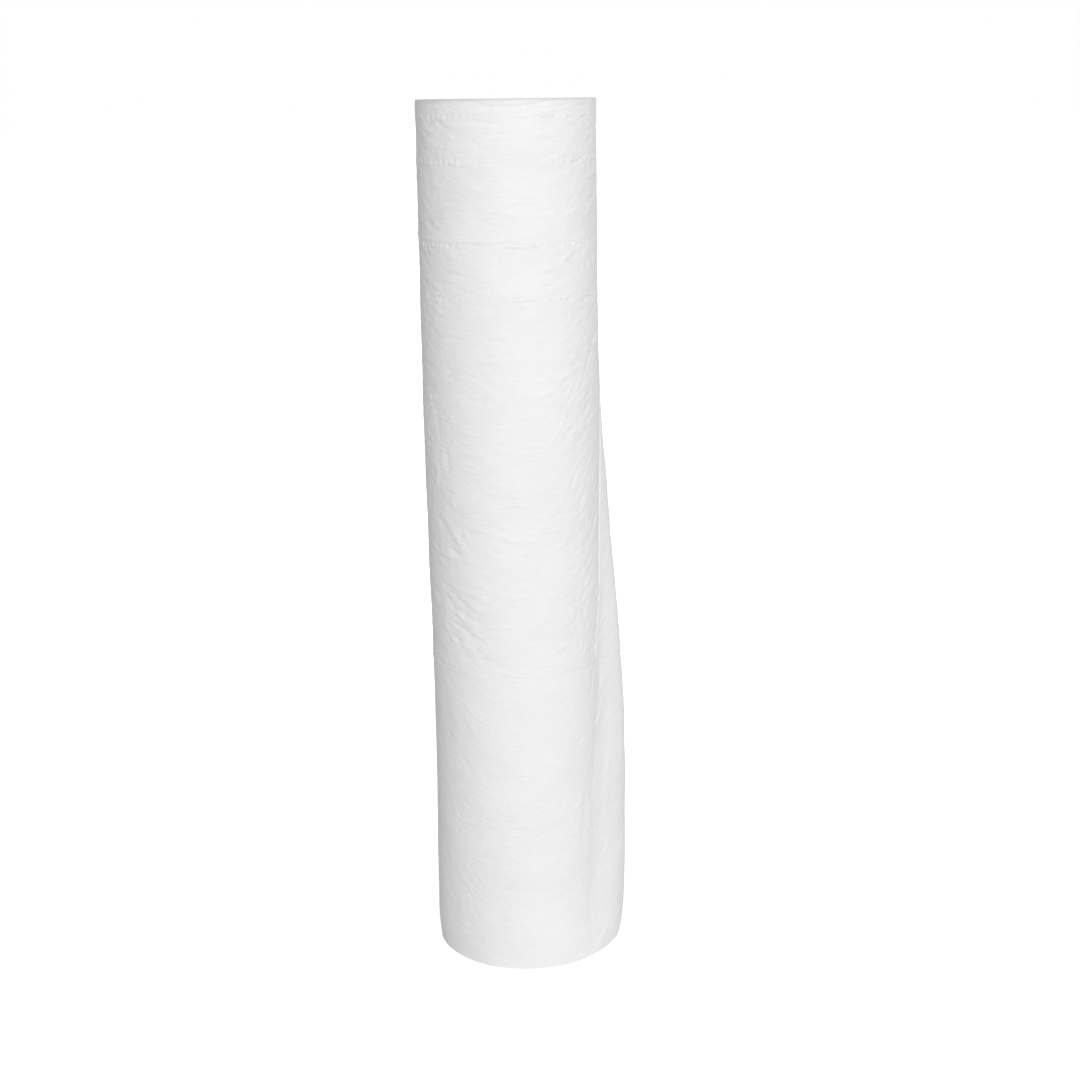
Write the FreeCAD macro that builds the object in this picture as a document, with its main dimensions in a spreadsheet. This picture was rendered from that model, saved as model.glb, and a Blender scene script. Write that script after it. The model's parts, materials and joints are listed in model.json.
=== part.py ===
import FreeCAD, Part
import Sketcher
import math
import os

# A wide paper towel roll standing on end: one long web wound on a board core,
# with its last turn come loose over the lower half.
# Origin: the core's axis, at the end that the roll stands on. +Z runs up the roll.
# Bearings are turned from -Y (the front) towards +X (the side where the turn is loose).

DIMENSIONS = [
    # the wound web
    ("roll_height", 600.0),
    ("wound_radius", 60.5),
    ("web_thickness", 0.5),
    # the core
    ("core_radius", 21.0),
    ("core_wall", 2.0),
    ("core_clearance", 0.05),
    # the free end of the web, which lies askew down the roll
    ("edge_bearing_foot", 30.0),
    ("edge_bearing_head", 115.0),
    # the loose part of the last turn
    ("loose_span", 150.0),
    ("loose_reach", 17.3),
    ("loose_reach_foot", 12.0),
    ("loose_peak_height", 100.0),
    ("loose_top_height", 445.0),
    ("soft_lift_height", 155.0),
    # the turns that show on both ends
    ("turn_count", 7),
    ("turn_line_width", 0.6),
    ("turn_line_depth", 0.8),
    ("turn_line_margin", 2.0),
]

REACH_CURVE = 1.15        # how gently the loose turn closes towards its top
SWELL_LIFT = 1.0          # how the loose turn lifts off at its free end: 1 is at once
SWELL_LIFT_FOOT = 1.7     # the same at the foot, where it lifts more softly
SWELL_FALL = 2.0          # how it lies down again at its other end
SINK = 0.5                # how deep the loose turn's ends and top run into the roll
TURN_POINTS = 12          # points along the loose turn in one section
SECTION_STEP = 15.0       # height between two sections of the loose turn
OVERSHOOT = 1.0           # how far a cutting solid runs past the face that it cuts


def make_sheet(doc):
    sheet = doc.addObject("Spreadsheet::Sheet", "dimensions")
    for row, (alias, value) in enumerate(DIMENSIONS, start=1):
        sheet.set(f"A{row}", alias)
        sheet.set(f"B{row}", str(value))
        sheet.setAlias(f"B{row}", alias)
    doc.recompute()
    return sheet


def point_at(bearing, radius, height):
    angle = math.radians(bearing)
    return FreeCAD.Vector(radius * math.sin(angle), -radius * math.cos(angle), height)


def edge_bearing(sheet, height):
    """Bearing of the web's free end at a height."""
    share = height / sheet.roll_height
    return sheet.edge_bearing_foot + (sheet.edge_bearing_head - sheet.edge_bearing_foot) * share


def reach_at(sheet, height):
    """How far the loose turn stands off the roll at a height."""
    peak = sheet.loose_peak_height
    if height <= peak:
        share = (peak - height) / peak
        return sheet.loose_reach - (sheet.loose_reach - sheet.loose_reach_foot) * share ** 2
    share = min((height - peak) / (sheet.loose_top_height - peak), 1.0)
    return sheet.loose_reach * (1 - share ** 2) ** REACH_CURVE


def lift_at(sheet, height):
    """Power of the lift at a height. It falls from the foot to the end of the soft stretch."""
    share = max(1 - height / sheet.soft_lift_height, 0.0)
    return SWELL_LIFT + (SWELL_LIFT_FOOT - SWELL_LIFT) * share


def standing_off(sheet, share, height):
    """How far the last turn's outside stands off the roll, at a share of its loose span."""
    lift = lift_at(sheet, height)
    highest = lift ** lift * SWELL_FALL ** SWELL_FALL / (lift + SWELL_FALL) ** (lift + SWELL_FALL)
    return reach_at(sheet, height) * share ** lift * (1 - share) ** SWELL_FALL / highest - SINK


def bspline(points, stations):
    curve = Part.BSplineCurve()
    curve.interpolate(Points=points, Parameters=stations)
    return curve.toShape()


def line(start, end):
    return Part.LineSegment(start, end).toShape()


def turn_section(sheet, height):
    """The last turn's strip of web at a height, from its free end back to where it lies down."""
    start = edge_bearing(sheet, height)
    shares = [(1 - math.cos(math.pi * i / TURN_POINTS)) / 2 for i in range(TURN_POINTS + 1)]
    outer, inner = [], []
    for share in shares:
        bearing = start + sheet.loose_span * share
        radius = sheet.wound_radius + standing_off(sheet, share, height)
        outer.append(point_at(bearing, radius, height))
        inner.append(point_at(bearing, radius - sheet.web_thickness, height))
    return Part.Wire([
        bspline(outer, shares),
        line(outer[-1], inner[-1]),
        bspline(inner, shares),
        line(inner[0], outer[0]),
    ])


def make_loose_turn(doc, sheet):
    """The loose stretch of the last turn. Its ends and its top run into the roll."""
    count = round(sheet.loose_top_height / SECTION_STEP)
    heights = [sheet.loose_top_height * i / count for i in range(count + 1)]
    turn = doc.addObject("Part::Feature", "loose_turn")
    turn.Shape = Part.makeLoft([turn_section(sheet, height) for height in heights], True, True)
    return turn


def make_winding(doc):
    winding = doc.addObject("Part::Cylinder", "winding")
    winding.setExpression("Radius", "dimensions.wound_radius")
    winding.setExpression("Height", "dimensions.roll_height")
    return winding


def make_winding_bore(doc):
    bore = doc.addObject("Part::Cylinder", "winding_bore")
    bore.setExpression("Radius", "dimensions.core_radius + dimensions.core_clearance")
    bore.setExpression("Height", f"dimensions.roll_height + {2 * OVERSHOOT}")
    bore.Placement.Base = FreeCAD.Vector(0, 0, -OVERSHOOT)
    return bore


def spiral_face(sheet):
    """A narrow band along the wound spiral, made of half circles about two centres."""
    inner = sheet.core_radius + sheet.core_clearance + sheet.turn_line_margin
    outer = sheet.wound_radius - sheet.turn_line_margin
    half_turns = 2 * round(sheet.turn_count)
    step = (outer - inner) / half_turns
    sides = []
    for offset in (sheet.turn_line_width / 2, -sheet.turn_line_width / 2):
        arcs = []
        for number in range(half_turns):
            facing = 1 if number % 2 == 0 else -1
            centre = FreeCAD.Vector(-facing * step / 2, 0, 0)
            radius = inner + step * (number + 0.5) + offset
            along = FreeCAD.Vector(facing * radius, 0, 0)
            across = FreeCAD.Vector(0, -facing * radius, 0)
            arcs.append(Part.Arc(centre + along, centre + across, centre - along).toShape())
        sides.append(arcs)
    far, near = sides
    start_cap = line(far[0].firstVertex().Point, near[0].firstVertex().Point)
    end_cap = line(far[-1].lastVertex().Point, near[-1].lastVertex().Point)
    return Part.Face(Part.Wire(Part.__sortEdges__(far + near + [start_cap, end_cap])))


def make_turn_line(doc, face, name):
    groove = doc.addObject("Part::Extrusion", name)
    groove.Base = face
    groove.DirMode = "Custom"
    groove.Dir = FreeCAD.Vector(0, 0, 1)
    groove.Solid = True
    groove.setExpression("LengthFwd", f"dimensions.turn_line_depth + {OVERSHOOT}")
    return groove


def make_turn_lines(doc, sheet):
    """The spiral that shows on both ends."""
    face = doc.addObject("Part::Feature", "turn_line_face")
    face.Shape = spiral_face(sheet)
    foot = make_turn_line(doc, face, "foot_turn_line")
    foot.Placement.Base = FreeCAD.Vector(0, 0, -OVERSHOOT)
    head = make_turn_line(doc, face, "head_turn_line")
    head.setExpression(".Placement.Base.z", "dimensions.roll_height - dimensions.turn_line_depth")
    return [foot, head]


def make_paper_roll(doc, sheet):
    web = doc.addObject("Part::Fuse", "wound_web")
    web.Base = make_winding(doc)
    web.Tool = make_loose_turn(doc, sheet)
    cuts = doc.addObject("Part::Compound", "bore_and_turn_lines")
    cuts.Links = [make_winding_bore(doc)] + make_turn_lines(doc, sheet)
    roll = doc.addObject("Part::Cut", "paper_roll")
    roll.Base = web
    roll.Tool = cuts
    return roll


def origin_plane(body, role):
    return next(feature for feature in body.Origin.OriginFeatures if feature.Role == role)


def add_ring_circle(sketch, radius, formula):
    circle = Part.Circle(FreeCAD.Vector(0, 0, 0), FreeCAD.Vector(0, 0, 1), radius)
    number = sketch.addGeometry(circle, False)
    sketch.addConstraint(Sketcher.Constraint("Coincident", number, 3, -1, 1))
    size = sketch.addConstraint(Sketcher.Constraint("Radius", number, radius))
    sketch.setExpression(f"Constraints[{size}]", formula)


def make_core_tube(doc, sheet):
    body = doc.addObject("PartDesign::Body", "core_tube")
    ring = body.newObject("Sketcher::SketchObject", "core_ring")
    ring.AttachmentSupport = [(origin_plane(body, "XY_Plane"), "")]
    ring.MapMode = "FlatFace"
    add_ring_circle(ring, sheet.core_radius, "dimensions.core_radius")
    add_ring_circle(ring, sheet.core_radius - sheet.core_wall,
                    "dimensions.core_radius - dimensions.core_wall")
    wall = body.newObject("PartDesign::Pad", "core_length")
    wall.Profile = ring
    wall.setExpression("Length", "dimensions.roll_height")
    return body


def check_document(doc, parts):
    for item in doc.Objects:
        if "Invalid" in item.State or "Error" in item.State:
            raise RuntimeError(f"{item.Label} failed: {item.State}")
    for part in parts:
        if part.Shape.isNull() or not part.Shape.isValid() or len(part.Shape.Solids) != 1:
            raise RuntimeError(f"{part.Label} is not one valid solid")


def main():
    doc = FreeCAD.newDocument("paper_towel_roll")
    sheet = make_sheet(doc)
    parts = [make_paper_roll(doc, sheet), make_core_tube(doc, sheet)]
    doc.recompute()
    check_document(doc, parts)
    os.makedirs("parts", exist_ok=True)
    for part in parts:
        part.Shape.exportStep(f"parts/{part.Label}.step")
        print(part.Label, f"{part.Shape.Volume / 1000:.1f} cm3", part.Shape.BoundBox)


main()
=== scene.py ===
import json
import math

import bpy
import numpy as np
from mathutils import Matrix, Vector


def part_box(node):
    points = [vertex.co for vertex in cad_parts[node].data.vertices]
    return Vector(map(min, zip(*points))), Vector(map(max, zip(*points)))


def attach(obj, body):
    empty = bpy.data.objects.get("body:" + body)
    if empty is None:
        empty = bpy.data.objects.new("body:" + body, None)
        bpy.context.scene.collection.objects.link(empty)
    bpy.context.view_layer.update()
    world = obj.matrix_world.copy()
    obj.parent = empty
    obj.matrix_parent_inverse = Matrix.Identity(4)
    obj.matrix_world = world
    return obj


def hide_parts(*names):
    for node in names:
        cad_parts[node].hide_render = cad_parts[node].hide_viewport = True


# A wide paper towel roll standing on end, with its last turn loose over the lower half.
# Lengths are in millimetres and bearings in degrees until they reach a mesh, which is in metres.
# Bearings turn from -Y, the front, towards +X, the side where the last turn is loose.

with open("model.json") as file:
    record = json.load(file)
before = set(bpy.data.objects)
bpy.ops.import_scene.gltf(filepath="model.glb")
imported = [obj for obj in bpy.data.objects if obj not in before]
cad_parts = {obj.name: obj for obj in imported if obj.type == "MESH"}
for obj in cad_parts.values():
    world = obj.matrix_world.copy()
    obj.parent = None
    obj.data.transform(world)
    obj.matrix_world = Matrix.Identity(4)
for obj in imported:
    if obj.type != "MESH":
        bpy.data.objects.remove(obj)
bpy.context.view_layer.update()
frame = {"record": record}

MM = 0.001
ROLL_LOW, ROLL_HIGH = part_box("paper_roll")
CORE_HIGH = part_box("core_tube")[1]
MOUNTS = {mount["name"]: mount for mount in frame["record"]["mounts"]}

ROLL_HEIGHT = ROLL_HIGH[2] / MM
WOUND_RADIUS = -ROLL_LOW[0] / MM
CORE_RADIUS = CORE_HIGH[0] / MM
CORE_BORE_RADIUS = MOUNTS["core_bore"]["dims"]["r_mm"]
CORE_CLEARANCE = 0.05
CORE_SUNK = 1.0

# the bearing at the left side where the relief's columns and the paths round the roll start
SEAM = -95.0

# the free end of the web: its step and its bright lip, with the heights where they set in and fade
EDGE_STEP = 0.16
EDGE_STEP_FROM = (200, 226)
EDGE_STEP_PRESSED = 0.1
EDGE_LIP = 0.55
EDGE_LIP_FROM = (208, 226)
EDGE_LIP_UNTIL = (400, 440)
EDGE_LIP_WIDTH = 5
EDGE_HEIGHTS = (0, 21, 40, 71, 101, 132, 162, 185, 205, 219, 237, 253, 287, 315, 342, 600)
EDGE_BEARINGS = (45, 48.7, 51.8, 56, 57.3, 58.6, 62.3, 65.2, 65, 64.2, 67.4, 71, 74.4, 76.5, 79, 115)
EDGE_ROUNDING = (-12.0, -6.0, 0.0, 6.0, 12.0)

# the loose stretch of the last turn, a little fuller than in the CAD
WEB_THICKNESS = 0.35
LOOSE_SPAN = 150.0
LOOSE_REACH = 17.5
LOOSE_REACH_FOOT = 12.6
LOOSE_PEAK_HEIGHT = 100.0
LOOSE_TOP_HEIGHT = 445.0
SOFT_LIFT_HEIGHT = 155.0
REACH_CURVE = 1.15
SWELL_LIFT = 1.0
SWELL_LIFT_FOOT = 1.7
SWELL_FALL = 2.0

# how the turn leaves the roll beside its free end: in a soft fold low down, and at once higher up.
# This form fades out between the two heights of LEAVING_TOP.
LEAVING_HEIGHTS = (0, 8, 21, 40, 71, 101, 132, 162, 185, 205, 225, 254, 283, 312, 341)
LEAVING_REACHES = (
    12.6, 14.8, 16.6, 17.8, 19.6, 19.6, 21.2, 23.8, 26.2, 26.8, 26.4, 28.6, 25.8, 23, 21.5)
LEAVING_POWERS = (1.9, 1.95, 2.0, 2.0, 2.2, 2.55, 2.55, 2.4, 2.25, 2.2, 2.0, 1.6, 1.35, 1.25, 1.2)
LEAVING_TURN = 28.0
LEAVING_CORNER = 1.0
LEAVING_TOP = (335, 410)

# where that form starts to give way to the CAD's, in degrees past the free end, and over how many
MERGING_HEIGHTS = (100, 250)
MERGING_STARTS = (34, 18)
MERGING_SPAN = 46

# how far out the loose turn comes where the front view sees its side
SIDEMOST_HEIGHTS = (0, 7, 19, 39, 59, 79, 118, 157, 176, 206, 232, 269, 305, 341, 376)
SIDEMOST_REACHES = (12.3, 13.8, 15.0, 15.8, 16.1, 16.4, 16.7, 16.6, 15.8, 14.0, 12.7, 9.9, 7.1, 5.2, 2.2)

# how far the foot's rim stands out from the winding, by bearing
FOOT_BEARINGS = (-105, -88, -72, -56, -40, -24, -10, 8, 24, 48, 56, 64, 72, 84)
FOOT_STANDING = (0, -1.2, -1.9, -1.7, -1.0, 0, 0.4, 2.0, 3.8, 5.2, 4.4, 2.3, 0.7, 0)

# how far the left side stands out, by height
SIDE_HEIGHTS = (0, 45, 85, 120, 160, 235, 272, 305, 345, 415, 450, 482, 515, 574, 600)
SIDE_STANDING = (1.1, 1.0, 0.3, -0.5, -0.95, -0.8, -0.3, 0.0, 0.3, 0.15, 0.0, -0.3, -0.7, -1.1, -1.1)

# rows of fine embossed ticks that join the two plies
BOND_HEIGHTS = (592.0, 564.0, 510.5, 476.0, 221.0)
BOND_STRENGTHS = (1.0, 1.0, 1.1, 0.7, 0.4)
BOND_LINES = (0.08, 0.08, 0.3, 0.1, 0.16)
BOND_BAND = 5.5
RING_LINES = (526.0, 469.0, 446.0, 372.0, 330.0, 218.0, 108.0, 60.0)
RING_RIDGES = (0.3, 0.08, -0.08, 0.08, -0.08, 0.12, 0.08, -0.08)

# soft swells and short creases, and the heights where the more wrinkled stretch sets in
SWELL_COUNT = 26
SWELL_DEPTH = 0.03
CRINKLE_COUNT = 4300
WRINKLED_FROM = (208, 236)

# how much lower the head's rim lies at the right and the back
HEAD_SAG = 0.7

RANDOM_SEED = 41


def smooth(value, low, high):
    """0 below low, 1 above high, and a soft ramp between them."""
    share = np.clip((value - low) / (high - low), 0, 1)
    return share * share * (3 - 2 * share)


def soft_lower(first, second, corner):
    """The lower of two values, with the corner where they cross rounded off."""
    return 0.5 * (first + second - np.sqrt((first - second) ** 2 + corner ** 2))


def from_seam(bearing):
    """The same bearing within the turn that starts at the seam."""
    return (bearing - SEAM) % 360 + SEAM


# The loose turn

def free_edge(height):
    """Bearing of the web's free end at a height."""
    around = np.asarray(height, float)[..., None] + EDGE_ROUNDING
    return np.interp(around, EDGE_HEIGHTS, EDGE_BEARINGS).mean(-1)


def edge_step(height):
    """Step at the free end. Low down the end lies pressed into the fold, and no step shows."""
    shown = smooth(height, *EDGE_STEP_FROM)
    return EDGE_STEP * (EDGE_STEP_PRESSED + (1 - EDGE_STEP_PRESSED) * shown)


def edge_lip(turned, height):
    """The free end's lip, which catches the light as a thin line."""
    along = smooth(height, *EDGE_LIP_FROM) * (1 - smooth(height, *EDGE_LIP_UNTIL))
    across = smooth(turned, 0, 1.0) * np.exp(-(turned / EDGE_LIP_WIDTH) ** 2)
    return EDGE_LIP * along * across


def reach_at(height):
    """How far the loose turn stands off the roll at a height."""
    below = np.clip((LOOSE_PEAK_HEIGHT - height) / LOOSE_PEAK_HEIGHT, 0, 1)
    above = np.clip((height - LOOSE_PEAK_HEIGHT) / (LOOSE_TOP_HEIGHT - LOOSE_PEAK_HEIGHT), 0, 1)
    low_part = LOOSE_REACH - (LOOSE_REACH - LOOSE_REACH_FOOT) * below ** 2
    return np.where(height <= LOOSE_PEAK_HEIGHT, low_part, LOOSE_REACH * (1 - above ** 2) ** REACH_CURVE)


def leaving_form(turned, height):
    """How far the turn stands off the roll beside its free end: it rises from there to its sidemost
    reach and goes no further. The last term makes up for what the rounded corner takes at the end."""
    reach = np.interp(height, LEAVING_HEIGHTS, LEAVING_REACHES)
    power = np.interp(height, LEAVING_HEIGHTS, LEAVING_POWERS)
    sidemost = np.interp(height, SIDEMOST_HEIGHTS, SIDEMOST_REACHES)
    rising = reach * (1 - np.exp(-(turned / LEAVING_TURN) ** power))
    taken = 0.25 * LEAVING_CORNER ** 2 / (sidemost + 0.5 * LEAVING_CORNER)
    return soft_lower(rising, sidemost, LEAVING_CORNER) + taken * np.exp(-turned / 3)


def standing_off(share, height):
    """How far the last turn stands off the roll, at a share of its loose span from the free end."""
    lift = SWELL_LIFT + (SWELL_LIFT_FOOT - SWELL_LIFT) * np.clip(1 - height / SOFT_LIFT_HEIGHT, 0, 1)
    fall = SWELL_FALL
    highest = lift ** lift * fall ** fall / (lift + fall) ** (lift + fall)
    lifted = reach_at(height) * share ** lift * (1 - share) ** fall / highest
    turned = share * LOOSE_SPAN
    merging = np.interp(height, MERGING_HEIGHTS, MERGING_STARTS)
    near_edge = 1 - smooth(turned, merging, merging + MERGING_SPAN)
    low_down = 1 - smooth(height, *LEAVING_TOP)
    return lifted + (leaving_form(turned, height) - lifted) * (near_edge * low_down)


# The towel's skin: creases, crinkles and embossed rows as a relief over the unrolled side

class Skin:
    """A relief over the roll's side, in millimetres. It runs once round the roll."""

    CELL = 0.5
    # a fold fades out within this many of its widths
    FADES_WITHIN = 3.2

    def __init__(self):
        self.arc_per_degree = math.pi * WOUND_RADIUS / 180
        self.columns = 760
        self.rows = int(ROLL_HEIGHT / self.CELL) + 1
        self.degrees = 360 / self.columns
        self.bearings = SEAM + np.arange(self.columns) * self.degrees
        self.heights = np.arange(self.rows) * self.CELL
        self.relief = np.zeros((self.rows, self.columns))

    def window(self, low_bearing, high_bearing, low_height, high_height):
        """Cells of a patch: row numbers, column numbers, and the patch's bearings and heights."""
        first = math.floor((low_bearing - SEAM) / self.degrees)
        last = math.ceil((high_bearing - SEAM) / self.degrees)
        turned = np.arange(first, last + 1)
        low = max(int(low_height / self.CELL), 0)
        high = min(int(high_height / self.CELL) + 1, self.rows - 1)
        rows = np.arange(low, high + 1)
        bearing, height = np.meshgrid(SEAM + turned * self.degrees, rows * self.CELL)
        return rows, turned % self.columns, bearing, height

    def fold(self, path, width, height, lean=0.0, ends=0.35):
        """A ridge, or a valley if height is below 0, along a path of bearing and height.
        With a lean, one side of it is raised and the other sinks, as beside a folded crease."""
        path = np.array(path, float)
        margin = self.FADES_WITHIN * width
        wide = margin / self.arc_per_degree
        rows, columns, bearing, level = self.window(
            path[:, 0].min() - wide, path[:, 0].max() + wide,
            path[:, 1].min() - margin, path[:, 1].max() + margin)
        if len(rows) == 0:
            return
        x, y = bearing * self.arc_per_degree, level
        corners = path * (self.arc_per_degree, 1.0)
        runs = np.diff(corners, axis=0)
        lengths = np.hypot(runs[:, 0], runs[:, 1])
        starts = np.concatenate([[0.0], np.cumsum(lengths)[:-1]])
        nearest = np.full(x.shape, 1e9)
        side = np.zeros(x.shape)
        along = np.zeros(x.shape)
        for corner, run, length, start in zip(corners, runs, lengths, starts):
            share = np.clip(((x - corner[0]) * run[0] + (y - corner[1]) * run[1]) / length ** 2, 0, 1)
            away_x = x - corner[0] - share * run[0]
            away_y = y - corner[1] - share * run[1]
            away = np.hypot(away_x, away_y)
            closer = away < nearest
            nearest = np.where(closer, away, nearest)
            side = np.where(closer, np.sign(run[0] * away_y - run[1] * away_x), side)
            along = np.where(closer, (start + share * length) / lengths.sum(), along)
        taper = smooth(along, 0, ends) * smooth(1 - along, 0, ends) if ends else 1.0
        across = nearest / width
        shape = np.exp(-across ** 2) * (1 + lean * side * across * 2)
        self.relief[np.ix_(rows, columns)] += height * shape * taper

    def at(self, bearing, height):
        """The relief at any bearing and height, read between its cells."""
        column = ((bearing - SEAM) / self.degrees) % self.columns
        row = np.clip(height / self.CELL, 0, self.rows - 1.001)
        left, low = np.floor(column).astype(int), np.floor(row).astype(int)
        right_share, high_share = column - left, row - low
        left, right = left % self.columns, (left + 1) % self.columns
        high = low + 1
        lower = self.relief[low, left] * (1 - right_share) + self.relief[low, right] * right_share
        upper = self.relief[high, left] * (1 - right_share) + self.relief[high, right] * right_share
        return lower * (1 - high_share) + upper * high_share


def lay_swells(skin, random):
    """Long soft unevenness of the winding."""
    bearing, height = np.meshgrid(np.radians(skin.bearings), skin.heights)
    for _ in range(SWELL_COUNT):
        waves_round = random.integers(0, 9)
        wavelength = random.uniform(45, 170)
        phase = random.uniform(0, 2 * math.pi)
        slant = random.choice((-1, 1))
        wave = waves_round * bearing * slant + 2 * math.pi * height / wavelength + phase
        skin.relief += SWELL_DEPTH * np.cos(wave)


def lay_left_side(skin):
    """How the left side leans in and out. It lies across the seam, so it is laid from both ends."""
    standing = np.interp(skin.heights, SIDE_HEIGHTS, SIDE_STANDING)[:, None]
    for middle in (-85, 275):
        skin.relief += standing * np.exp(-((skin.bearings - middle) / 30) ** 2)


# How the creases lie: their rise to the right, in degrees, by height (rows) and bearing (columns)
LIE_BEARINGS = (-95, -70, -45, -20, 0, 28, 55, 75, 100, 265)
LIE_HEIGHTS = (0, 160, 235, 290, 400, 500, 600)
LIE = (
    (-10, -26, -32, -16, 0, 12, 30, 40, 10, -10),
    (-10, -26, -32, -16, 0, 12, 30, 40, 10, -10),
    (-8, -8, -16, -14, -4, 8, 38, 46, 14, -8),
    (-8, -10, -18, -14, -4, 10, 44, 50, 16, -8),
    (-4, -12, -12, -6, 3, 16, 36, 40, 14, -4),
    (-3, -10, -10, -5, 2, 12, 22, 26, 10, -3),
    (-3, -6, -8, -4, 2, 6, 10, 10, 6, -3),
)


def lie_of_creases(bearing, height):
    rises = [np.interp(bearing, LIE_BEARINGS, row) for row in LIE]
    return float(np.interp(height, LIE_HEIGHTS, rises))


def fade_at_sides(bearing, share):
    """What is left of a depth that falls by a share towards the sides, and stays so at the back."""
    return 1 - share * smooth(abs(bearing), 66, 84)


def press_stroke(skin, random, bearing, height, angle, half, width, depth):
    """One short crease about a place, with a slight bow. It is shallower at the sides and the back."""
    depth *= fade_at_sides(bearing, 0.6)
    turn = half * math.cos(angle) / skin.arc_per_degree
    climb = half * math.sin(angle)
    bow = 0.07 * half * random.normal()
    path = [
        (bearing - turn, height - climb),
        (bearing - bow * math.sin(angle), height + bow * math.cos(angle)),
        (bearing + turn, height + climb),
    ]
    skin.fold(path, width, depth, lean=random.uniform(-0.7, 0.7), ends=0.45)


def lay_crinkles(skin, random):
    """Short creases that run nearly round the roll, where the web was wound under tension."""
    for _ in range(CRINKLE_COUNT):
        bearing = random.uniform(SEAM, SEAM + 360)
        height = random.uniform(3, ROLL_HEIGHT - 3)
        wrinkled = smooth(height, *WRINKLED_FROM)
        angle = math.radians(lie_of_creases(bearing, height) + random.normal(0, 8))
        half = random.uniform(4, 8) + random.uniform(0, 9) * wrinkled
        depth = random.normal(0, 0.17 + 0.075 * wrinkled)
        press_stroke(skin, random, bearing, height, angle, half, random.uniform(0.9, 1.8), depth)


def lay_side_folds(skin, random):
    """Patches of deeper short folds: where they lie, how steep they are and how deep."""
    patches = [
        # bearings, heights, rise at the patch's foot and head, longest half length, depth, count
        ((-66, -40), (335, 410), (82, 62), 5.5, 0.3, 60),
        ((-68, -30), (405, 500), (30, -10), 8, 0.24, 46),
        ((-60, -16), (226, 280), (-22, -30), 9, 0.42, 56),
        ((-62, -30), (275, 335), (-34, -48), 7, 0.28, 34),
        ((40, 74), (300, 450), (52, 44), 10, 0.34, 66),
        ((40, 66), (226, 300), (58, 52), 10, 0.32, 36),
        ((-72, -40), (500, 598), (-30, -8), 6, 0.28, 60),
        ((40, 72), (450, 598), (30, 12), 7, 0.28, 80),
        ((-74, -32), (30, 215), (-34, -34), 6, 0.26, 110),
        ((-35, 40), (400, 466), (0, 8), 9, 0.22, 60),
        ((36, 70), (515, 590), (26, 10), 7, 0.24, 34),
        ((66, 92), (30, 215), (74, 80), 14, 0.26, 30),
        ((74, 96), (215, 330), (78, 80), 14, 0.12, 12),
    ]
    for bearings, heights, rises, longest, depth, count in patches:
        for _ in range(count):
            bearing, height = random.uniform(*bearings), random.uniform(*heights)
            rise = np.interp(height, heights, rises) + random.normal(0, 12)
            half = random.uniform(0.35, 1.0) * longest
            width = random.uniform(1.0, 1.9)
            pressed = random.choice((-1, 1)) * random.uniform(0.4, 1.1) * depth
            press_stroke(skin, random, bearing, height, math.radians(rise), half, width, pressed)


def ring_path(level, sway, waves, waver):
    """A path once round the roll, which sways a little up and down."""
    bearings = range(int(SEAM), int(SEAM) + 361, 10)
    return [(b, level + sway * math.sin(math.radians(waves * b) + waver)) for b in bearings]


def lay_bond_bands(skin, random):
    """Embossed rows: a fine line round the roll, with a band of small puckers under it."""
    for band, strength, ridge in zip(BOND_HEIGHTS, BOND_STRENGTHS, BOND_LINES):
        waver = random.uniform(0, 2 * math.pi)
        skin.fold(ring_path(band, 0.5, 2, waver), 0.7, ridge, ends=0)
        bearing = SEAM
        rise = 1
        while bearing < SEAM + 360:
            bearing += random.uniform(1.7, 2.7)
            rise = -rise
            top = band - random.uniform(0.0, 1.2)
            slant = random.uniform(-0.6, 1.8)
            foot = top - random.uniform(3.5, BOND_BAND)
            depth = random.uniform(0.18, 0.42) * strength * rise * fade_at_sides(bearing, 0.5)
            pucker = [(bearing, top), (bearing + slant, foot)]
            skin.fold(pucker, random.uniform(0.9, 1.2), depth, ends=0.3)


def lay_ring_lines(skin, random):
    """Faint lines round the roll where the web was pressed."""
    for line, ridge in zip(RING_LINES, RING_RIDGES):
        waver = random.uniform(0, 2 * math.pi)
        skin.fold(ring_path(line, 0.8, 1, waver), 0.7, ridge, lean=0.3, ends=0)


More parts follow.
